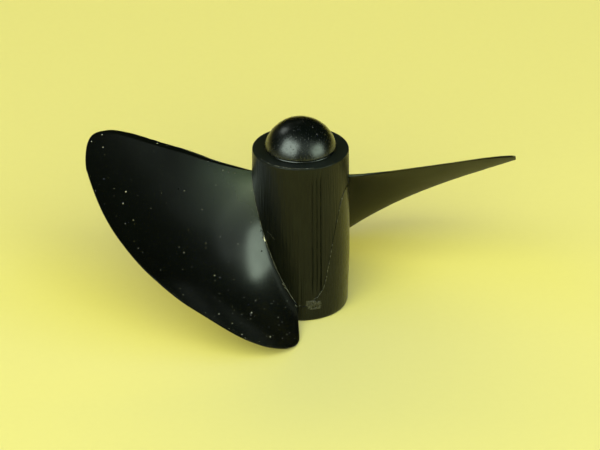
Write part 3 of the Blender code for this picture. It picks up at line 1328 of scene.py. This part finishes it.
@shader_group("Dust film", {"Speck Scale": 2600.0, "Amount": 1.0}, ("Specks", "Haze", "Faces Up"))
def dust_film_group(group, speck_scale, amount):
    """Fine dust lying on faces that look up, in specks and thin patches."""
    place = object_place(group)
    cells = node(group, "ShaderNodeTexVoronoi", {"Vector": place, "Scale": speck_scale, "Randomness": 1.0})
    chance = separate(cells.outputs["Color"])[0]
    specks = (1.0 - Field(cells.outputs["Distance"]).ramp(0.06, 0.12)) * chance.ramp(0.86, 0.9)
    normal = separate(group.nodes.new("ShaderNodeNewGeometry").outputs["Normal"])[2]
    faces_up = normal.ramp(0.1, 0.7)
    haze = noise_field(place, 700.0, 4.0, 0.7).ramp(0.42, 0.78)
    return specks * faces_up * amount, haze * faces_up * amount, faces_up


@shader_group("Pits", {"Scale": 900.0}, ("Mask",))
def pits_group(group, scale):
    """Small pits, some of them drawn out, thinly strewn."""
    place = object_place(group)
    bent = node(
        group,
        "ShaderNodeVectorMath",
        {0: noise(place, 5000.0, 1.0).outputs[1], 1: (0.0004, 0.0004, 0.0004), 2: place},
        operation="MULTIPLY_ADD",
    )
    cells = node(group, "ShaderNodeTexVoronoi", {"Vector": bent.outputs[0], "Scale": scale})
    chance = separate(cells.outputs["Color"])[0]
    size = chance.ramp(0.55, 1.0) * 0.09
    pits = 1.0 - (Field(cells.outputs["Distance"]) - size).ramp(0.0, 0.03)
    return (pits * chance.ramp(0.55, 0.6),)


@shader_group("Rubbed scratches", {"Density": 1.0}, ("Mask",))
def scratches_group(group, density):
    """Thin scratches in three directions."""
    place = object_place(group)
    lines = 0.0
    for turn_y, turn_z in ((0.35, 0.5), (0.2, 2.2), (-0.3, 1.3)):
        turned = node(group, "ShaderNodeMapping", {"Vector": place, "Rotation": (0.0, turn_y, turn_z)})
        x, y, z = separate(turned.outputs[0])
        line = noise_field(combine(x * 600.0, y * 9000.0, z * 9000.0), 1.0, 1.0)
        lines = line.ramp(0.70, 0.76).math("MAXIMUM", lines)
    return (lines * density,)


def named_material(content):
    """Turns a function that fills a node tree into one that takes nothing and gives its material.

    The material has the function's name. It is made at the first call and found later.
    """
    name = content.__name__

    def find():
        if name in bpy.data.materials:
            return bpy.data.materials[name]
        made = bpy.data.materials.new(name)
        made.use_nodes = True
        content(made.node_tree)
        return made

    return find


def surface(tree, inputs):
    """Links or sets inputs of a material's Principled shader."""
    feed(tree.nodes["Principled BSDF"], inputs)


def mixed(mask, first, second):
    """A colour between two colours or sockets, by a mask Field."""
    made = node(mask.tree, "ShaderNodeMix", {"Factor": mask}, data_type="RGBA")
    for slot, colour in ((6, first), (7, second)):
        feed(made, {slot: colour if isinstance(colour, bpy.types.NodeSocket) else (*colour, 1.0)})
    return made.outputs[2]


def times(colour, factor):
    return tuple(channel * factor for channel in colour)


def bumped(height, strength, distance):
    inputs = {"Height": height, "Strength": strength, "Distance": distance}
    return node(height.tree, "ShaderNodeBump", inputs).outputs[0]


@named_material
def moulded_plastic_hub(tree):
    """Black plastic of the hub's wall, with draw streaks and the two mould halves' finishes."""
    finish = settings("finish")
    draw = use_group(tree, draw_streaks_group())
    grain = use_group(tree, fine_grain_group(), {"Scale": 16000.0})
    streaks = draw["Streaks"]
    patches = grain["Patches"]
    light = tuple(channel * 4.0 + 0.0006 for channel in finish.plastic)
    tone = mixed(streaks.ramp(0.45, 0.75) * 0.6 + patches.ramp(0.5, 0.7) * 0.3, finish.plastic, light)
    # The hub's top face gets a little of the film colour: partly dust film, partly painted sheen of the
    # light from behind.
    top_face_film_and_sheen = separate(object_place(tree))[2].ramp(HUB_LENGTH - 0.00006, HUB_LENGTH - 0.00002)
    surface(
        tree,
        {
            "Base Color": mixed(top_face_film_and_sheen * (patches * 0.012 + 0.006), tone, finish.film),
            "Roughness": streaks * 0.16 + patches * 0.08 + draw["Upper Half"] * 0.04 + 0.15,
            "Normal": bumped(draw["Height"] + grain["Height"] * 0.1, 0.7, 0.00003),
            "Specular IOR Level": 0.26,
        },
    )


def beyond_bevel(x, y, radius):
    """A Field that is 0 on the bevel along a blade's trailing edge and 1 on the rest of its face."""
    edge = 173.4 - radius.ramp(0.0055, 0.0110) * 2.6 + radius.ramp(0.0174, 0.0194) * 2.3
    away = (wrapped_angle(x, y) * 180.0 - edge).math("FLOORED_MODULO", 180.0) * radius * DEGREE
    width = radius.ramp(0.0046, 0.0115) * 0.00020 + 0.00016
    return (away / width).ramp(0.9, 1.15)


@named_material
def moulded_plastic_blade(tree):
    """Satin black plastic of the blades, glossier on the side that looks up, with dust and pits."""
    finish = settings("finish")
    grain = use_group(tree, fine_grain_group(), {"Scale": 12000.0})
    film = use_group(tree, dust_film_group(), {"Speck Scale": 2400.0})
    pit = use_group(tree, pits_group())["Mask"]
    scratches = use_group(tree, scratches_group(), {"Density": 0.5})["Mask"]
    patches = grain["Patches"]
    specks = film["Specks"]
    haze = film["Haze"]
    faces_up = film["Faces Up"]
    # Film, thicker towards the root's upper end: partly dust film, partly painted sheen near the root
    x, y, z = separate(object_place(tree))
    radius = from_axis(x, y)
    near_root = 1.0 - radius.ramp(0.0046, 0.0125)
    off_bevel = beyond_bevel(x, y, radius)
    settled_and_sheen = near_root * near_root * z.ramp(0.0085, 0.0135) * faces_up
    settled_and_sheen = settled_and_sheen * off_bevel * (patches * 0.08 + 0.065)
    film_and_sheen_colour = mixed(haze * 0.001 + settled_and_sheen, finish.plastic, finish.film)
    polish = faces_up * (1.0 - specks) * (1.0 - pit * 0.9)
    polish = polish * (1.0 - (patches - 0.5) * 0.5) * (off_bevel * 0.85 + 0.15)
    surface(
        tree,
        {
            "Base Color": mixed(specks * 0.35, film_and_sheen_colour, finish.dust),
            "Roughness": patches * 0.08 + haze * 0.05 + specks * 0.3 + 0.42,
            "Normal": bumped(grain["Height"] * 0.2 - scratches * 0.3 - pit * 3.0, 0.35, 0.00002),
            "Specular IOR Level": 0.09,
            "Coat Weight": polish,
            "Coat Roughness": 0.20,
            "Coat IOR": 1.78,
        },
    )


@named_material
def rubbed_plastic(tree):
    """Glossier black plastic of the dome, with fine scratches."""
    finish = settings("finish")
    grain = use_group(tree, fine_grain_group(), {"Scale": 14000.0})
    scratches = use_group(tree, scratches_group(), {"Density": 1.0})["Mask"]
    specks = use_group(tree, dust_film_group(), {"Speck Scale": 2600.0, "Amount": 0.8})["Specks"]
    surface(
        tree,
        {
            "Base Color": mixed(specks * 0.4 + scratches * 0.015, finish.dome, finish.dust),
            "Roughness": grain["Patches"] * 0.16 + scratches * 0.30 + 0.19,
            "Normal": bumped(grain["Height"] * 0.7 - scratches * 1.6, 0.3, 0.00002),
            "Specular IOR Level": 0.85,
        },
    )


def whitened_plastic(tree, paleness):
    """Plastic that tearing has whitened in patches."""
    finish = settings("finish")
    grain = use_group(tree, fine_grain_group(), {"Scale": 26000.0})
    whitened = noise_field(object_place(tree), 9000.0, 3.0, 0.7).ramp(0.45, 0.68)
    surface(
        tree,
        {
            "Base Color": mixed(whitened, finish.plastic, times(finish.torn, paleness)),
            "Roughness": whitened * 0.2 + 0.35,
            "Normal": bumped(grain["Height"], 0.6, 0.00003),
        },
    )


@named_material
def torn_plastic(tree):
    """Whitened plastic of flash, burrs, the hair and the blade root beads, whose paleness also paints the
    highlight along the roots.
    """
    whitened_plastic(tree, 1.0)


@named_material
def scarred_plastic(tree):
    """Less whitened plastic of the gate scar."""
    whitened_plastic(tree, 0.3)


@named_material
def lint(tree):
    """Pale dust, a little darker in places."""
    colour = settings("finish").dust
    shade = noise_field(object_place(tree), 1800.0).ramp(0.4, 0.6)
    surface(tree, {"Base Color": mixed(shade, times(colour, 0.25), colour), "Roughness": 0.85})


@named_material
def turned_brass(tree):
    """Turned brass with fine rings about the shaft."""
    colour = settings("finish").brass
    x, y, z = separate(object_place(tree))
    rings = noise_field(combine(from_axis(x, y) * 60000.0, z * 9000.0, 0.0), 1.0)
    dull = noise_field(object_place(tree), 900.0, 3.0)
    surface(
        tree,
        {
            "Base Color": mixed(dull.ramp(0.35, 0.75), colour, times(colour, 0.62)),
            "Roughness": rings * 0.15 + dull * 0.2 + 0.2,
            "Normal": bumped(rings, 0.3, 0.00001),
            "Metallic": 1.0,
        },
    )


@named_material
def card_paper(tree):
    """Plain pale card."""
    colour = settings("finish").card
    fibres = noise_field(object_place(tree), 1500.0, 3.0)
    surface(
        tree,
        {
            "Base Color": mixed(fibres, colour, times(colour, 1.03)),
            "Roughness": 0.75,
            "Specular IOR Level": 0.25,
        },
    )


# Stage


def area_light(name, azimuth, elevation, distance, size, power, colour, use):
    """A soft light that faces the hub, from one row of LIGHTS."""
    data = bpy.data.lights.new(name, "AREA")
    data.shape = "RECTANGLE"
    data.size, data.size_y = size
    data.energy = power
    data.color = colour
    made = add_object(name, data)
    made.visible_diffuse = use != "glint"
    made.visible_glossy = use != "light"
    turn, rise = math.radians(azimuth), math.radians(elevation)
    direction = Vector((math.sin(turn) * math.cos(rise), -math.cos(turn) * math.cos(rise), math.sin(rise)))
    made.location = LIGHT_AIM + direction * distance
    made.rotation_euler = direction.to_track_quat("Z", "Y").to_euler()


def pale_card():
    """The sheet of card that the propeller stands on."""
    work = bmesh.new()
    bmesh.ops.create_grid(work, x_segments=CARD_CELLS, y_segments=CARD_CELLS, size=CARD_HALF_SIZE)
    mesh = bpy.data.meshes.new("pale_card")
    work.to_mesh(mesh)
    work.free()
    mesh.materials.append(card_paper())
    return add_object("pale_card", mesh)


def light_room(scene):
    """Dim light from all round that doesn't show in reflections."""
    world = bpy.data.worlds.new("pale_room")
    world.use_nodes = True
    feed(world.node_tree.nodes["Background"], {"Color": ROOM_COLOUR, "Strength": ROOM_STRENGTH})
    scene.world = world
    # Last, because a change to this setting updates the world that the scene has by then.
    world.cycles_visibility.glossy = False


def view_camera(stage):
    """The camera, in front of the propeller and turned down towards it."""
    data = bpy.data.cameras.new("view_camera")
    data.lens = stage.lens
    data.sensor_width = SENSOR_WIDTH
    data.clip_start = NEAREST_SEEN
    camera = add_object("view_camera", data)
    back = math.cos(stage.elevation) * stage.distance
    camera.location = (stage.aim_side, -back, stage.aim_height + math.sin(stage.elevation) * stage.distance)
    camera.rotation_euler = (math.pi / 2 - stage.elevation, 0.0, 0.0)
    return camera


class PROPELLER_OT_stage(bpy.types.Operator):
    """The pale card, soft lights and camera"""

    bl_idname = "propeller.stage"
    bl_label = "Stage"

    def execute(self, context):
        card = pale_card()
        for values in LIGHTS:
            area_light(*values)
        light_room(context.scene)
        context.scene.view_settings.view_transform = "Standard"
        context.scene.camera = view_camera(settings("stage"))
        return {"FINISHED"}


OPERATORS = (
    PROPELLER_OT_stage,
    PROPELLER_OT_moulding,
    PROPELLER_OT_nose_cap,
    PROPELLER_OT_shaft_bush,
    PROPELLER_OT_flash,
    PROPELLER_OT_gate_scar,
    PROPELLER_OT_dust,
)


class PROPELLER_PT_panel(bpy.types.Panel):
    """Lists the propeller's operators"""

    bl_label = "Model boat propeller"
    bl_idname = "PROPELLER_PT_panel"
    bl_space_type = "VIEW_3D"
    bl_region_type = "UI"
    bl_category = "Propeller"

    def draw(self, context):
        for operator in OPERATORS:
            self.layout.operator(operator.bl_idname)


def register():
    for name, group in SETTINGS.items():
        bpy.utils.register_class(group)
        setattr(bpy.types.Scene, "propeller_" + name, PointerProperty(type=group))
    for made in (*OPERATORS, PROPELLER_PT_panel):
        bpy.utils.register_class(made)


def unregister():
    for made in (PROPELLER_PT_panel, *reversed(OPERATORS)):
        bpy.utils.unregister_class(made)
    for name, group in reversed(SETTINGS.items()):
        delattr(bpy.types.Scene, "propeller_" + name)
        bpy.utils.unregister_class(group)


def main():
    register()
    bpy.ops.propeller.stage()
    bpy.ops.propeller.moulding()
    bpy.ops.propeller.nose_cap()
    bpy.ops.propeller.shaft_bush()
    bpy.ops.propeller.flash()
    bpy.ops.propeller.gate_scar()
    bpy.ops.propeller.dust()


if __name__ == "__main__":
    main()
